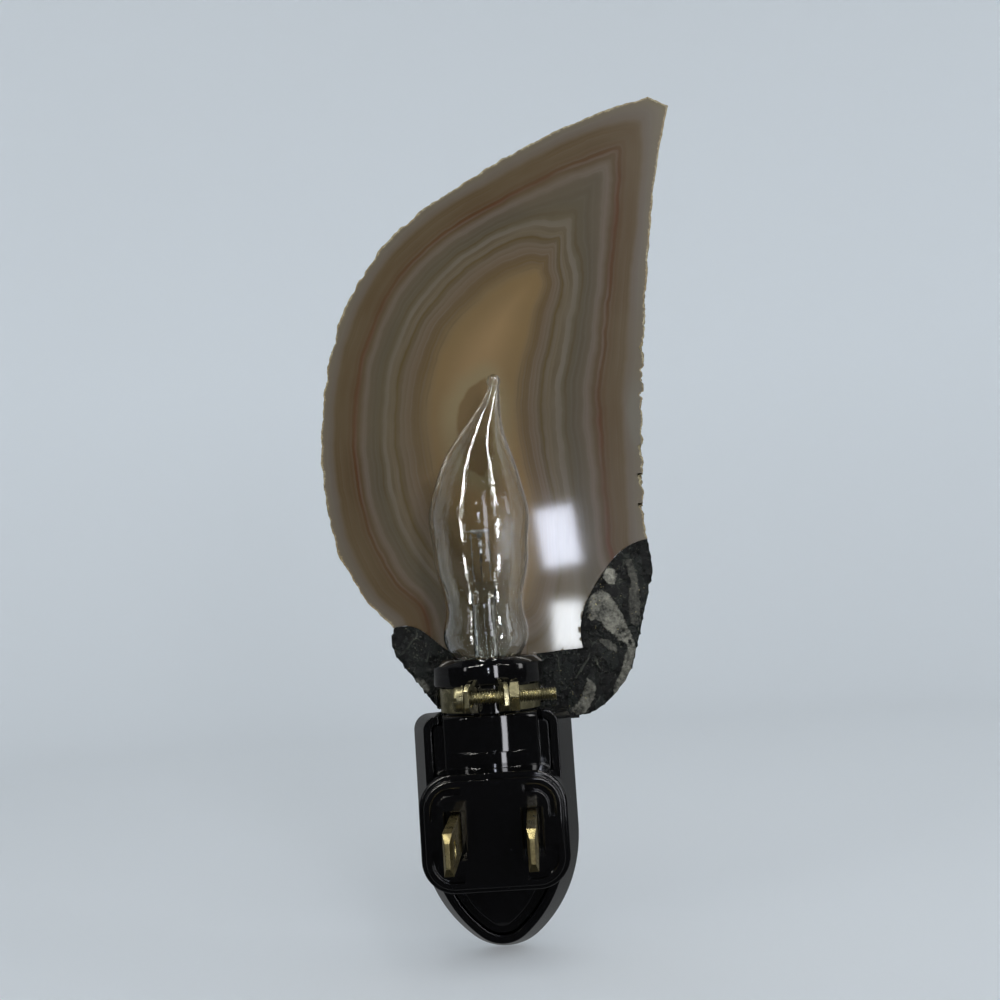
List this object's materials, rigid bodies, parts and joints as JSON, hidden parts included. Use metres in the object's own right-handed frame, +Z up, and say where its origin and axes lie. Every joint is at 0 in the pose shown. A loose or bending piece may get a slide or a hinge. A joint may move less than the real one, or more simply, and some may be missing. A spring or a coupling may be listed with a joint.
{
  "type": "plug in night light",
  "caption": "Plug-in night light: black shield-shaped housing with wall plug, flame bulb, and a banded stone slice clamped to the socket neck.",
  "frame": {"origin": "midway between the two blades, on the plug's face", "axes": "+Z up along the bulb in use, +Y into the wall along the blades, -Y is the room side with the stone"},
  "size_m": [0.0722, 0.05, 0.1587],
  "materials": {
    "phenolic": "glossy black moulded phenolic",
    "brass": "bright brass, slightly tarnished",
    "bulb_brass": "thin spun brass",
    "fibre": "pressed fibre, matt",
    "clear_glass": "clear blown glass",
    "black_glass": "black vitrite glass",
    "wire": "nickel-plated wire",
    "tungsten": "coiled tungsten, dull",
    "solder": "tin solder",
    "adhesive": "clear cured adhesive",
    "agate": "polished banded agate",
    "rind": "dark rough host rock with quartz"
  },
  "bodies": {
    "base": {"main_body": "phenolic", "socket_ring": "phenolic", "front_cover": "phenolic", "screw_shell": "brass", "socket_disc": "fibre", "centre_contact": "brass", "blade_left": "brass", "blade_right": "brass", "contact_rivets": "brass"},
    "switch": {"switch_slider": "phenolic", "switch_bridge": "brass"},
    "bulb_contact": {"bulb_contact": "solder"},
    "bulb": {"bulb_glass": "clear_glass", "bulb_stem": "clear_glass", "lead_wires": "wire", "support_wires": "wire", "filament": "tungsten", "bulb_cap": "bulb_brass", "cap_insulator": "black_glass"},
    "clamp": {"clamp_band": "brass", "clamp_nut": "brass", "adhesive_bead": "adhesive", "agate_slice": "agate", "rock_rind": "rind"},
    "clamp_washer": {"clamp_washer": "brass"},
    "clamp_screw": {"clamp_screw": "brass"}
  },
  "joints": [
    {"name": "bulb_rise", "type": "slide", "parent": "base", "child": "bulb_contact", "axis": [0, 0, 1], "range_m": [0, 0.01397]},
    {"name": "bulb_turn", "type": "hinge", "parent": "bulb_contact", "child": "bulb", "pos_m": [0, -0.0168, 0], "axis": [0, 0, 1], "range_deg": [0, 2000]},
    {"name": "switch_slide", "type": "slide", "parent": "base", "child": "switch", "axis": [0, 0, 1], "range_m": [0, 0.0035]},
    {"name": "clamp_swivel", "type": "hinge", "parent": "base", "child": "clamp", "pos_m": [0, -0.0168, 0], "axis": [0, 0, 1], "range_deg": [-15, 15]},
    {"name": "screw_travel", "type": "slide", "parent": "clamp", "child": "clamp_washer", "axis": [1, 0, 0], "range_m": [0, 0.00454]},
    {"name": "screw_turn", "type": "hinge", "parent": "clamp_washer", "child": "clamp_screw", "pos_m": [0, -0.00485, 0.02165], "axis": [1, 0, 0], "range_deg": [0, 3620]}
  ],
  "couplings": [
    {"joint": "bulb_turn", "follows": "bulb_rise", "rad_per_m": 2473.7},
    {"joint": "screw_turn", "follows": "screw_travel", "rad_per_m": 13852}
  ]
}
